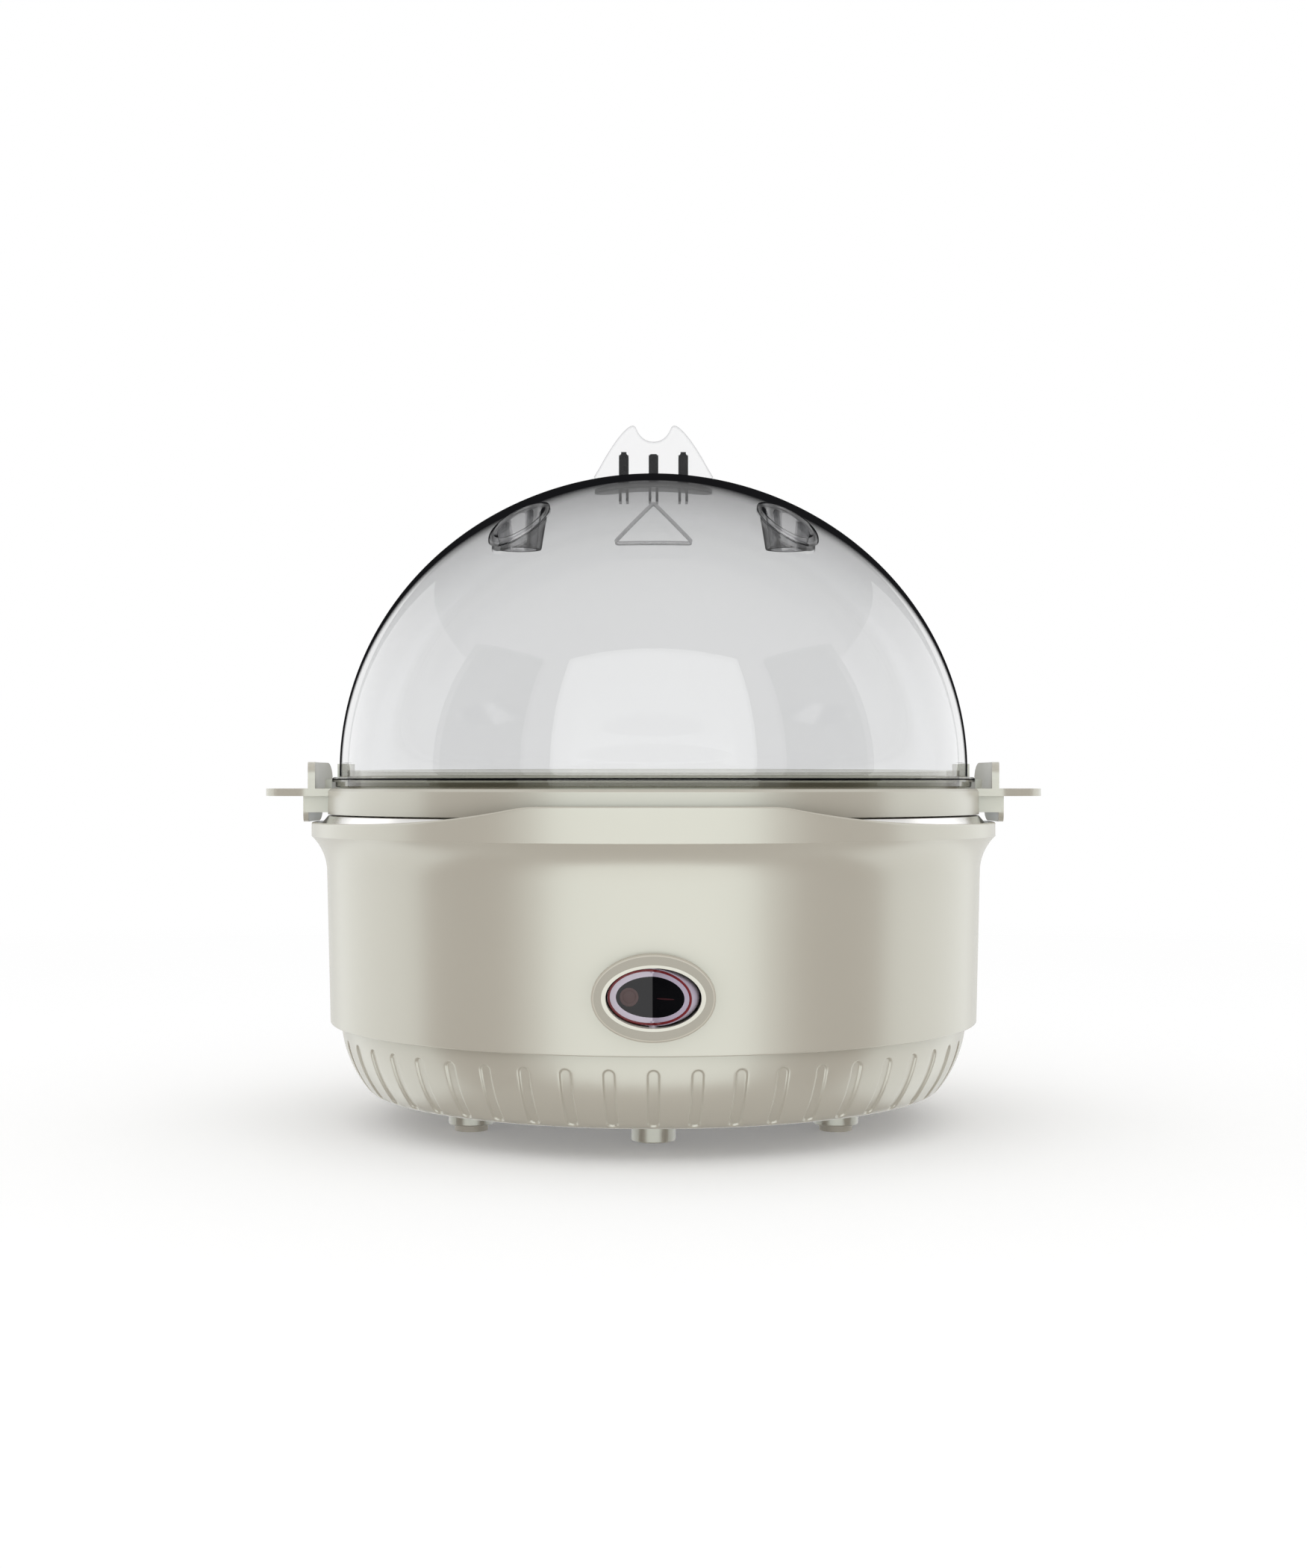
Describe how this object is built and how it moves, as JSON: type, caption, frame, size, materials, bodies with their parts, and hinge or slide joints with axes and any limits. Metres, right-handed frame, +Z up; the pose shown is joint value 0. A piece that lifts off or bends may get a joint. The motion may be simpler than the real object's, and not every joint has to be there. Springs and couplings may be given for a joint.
{
  "type": "electric egg cooker",
  "caption": "Round countertop egg cooker: greige base with a low front rocker switch, lift-off egg tray with side handles, and a smoke-clear dome lid with vents and a finger grip.",
  "frame": {"origin": "on the floor under the centre of the base, at the centre of the bounding box's underside", "axes": "+Z up along the axis of the dome, +X to the right handle, -Y to the front with the switch"},
  "size_m": [0.188, 0.1658, 0.169],
  "materials": {
    "greige_plastic": "satin",
    "soft_pad": "matte",
    "zinc_steel": "bright zinc",
    "polished_steel": "polished",
    "gasket": "matte",
    "plate_aluminium": "as rolled",
    "element_sheath": "dull",
    "pin_steel": "dull",
    "black_phenolic": "matte",
    "spring_steel": "plain",
    "fuse_sleeve": "plain",
    "bezel_plastic": "satin",
    "rocker_lilac": "gloss",
    "rocker_black": "satin",
    "switch_black": "matte",
    "contact_brass": "plain",
    "neon_glass": "clear",
    "gland_plastic": "matte",
    "block_plastic": "satin",
    "lead_sleeve": "satin",
    "smoke_clear": "gloss",
    "clear_plastic": "gloss",
    "dark_clip": "gloss",
    "smoke_plate": "gloss"
  },
  "bodies": {
    "base": {"upper_housing": "greige_plastic", "lower_housing": "greige_plastic", "foot_pads": "soft_pad", "housing_screws": "zinc_steel", "water_bowl": "polished_steel", "bowl_gasket": "gasket", "heat_plate": "plate_aluminium", "heating_element": "element_sheath", "element_pins": "pin_steel", "bowl_stud": "zinc_steel", "clamp_bridge": "zinc_steel", "clamp_nut": "zinc_steel", "thermostat": "black_phenolic", "thermostat_strap": "spring_steel", "thermal_fuse": "fuse_sleeve", "fuse_clip": "spring_steel", "switch_bezel": "bezel_plastic", "switch_body": "switch_black", "switch_terminals": "contact_brass", "neon_lamp": "neon_glass", "cord_gland": "gland_plastic", "terminal_block": "block_plastic", "internal_leads": "lead_sleeve"},
    "rocker_body": {"rocker": "rocker_lilac", "rocker_face": "rocker_black"},
    "tray": {"egg_tray": "greige_plastic"},
    "lid": {"lid_dome": "smoke_clear", "lid_handle": "clear_plastic", "handle_clips": "dark_clip", "handle_plate": "smoke_plate"}
  },
  "joints": [
    {"name": "tray_lift", "type": "slide", "parent": "base", "child": "tray", "axis": [0, 0, 1], "range_m": [0, 0.08]},
    {"name": "lid_lift", "type": "slide", "parent": "tray", "child": "lid", "axis": [0, 0, 1], "range_m": [0, 0.12]},
    {"name": "rocker_tilt", "type": "hinge", "parent": "base", "child": "rocker_body", "pos_m": [0, -0.07708, 0.03631], "axis": [0, 0, 1], "range_deg": [0, 30]}
  ]
}
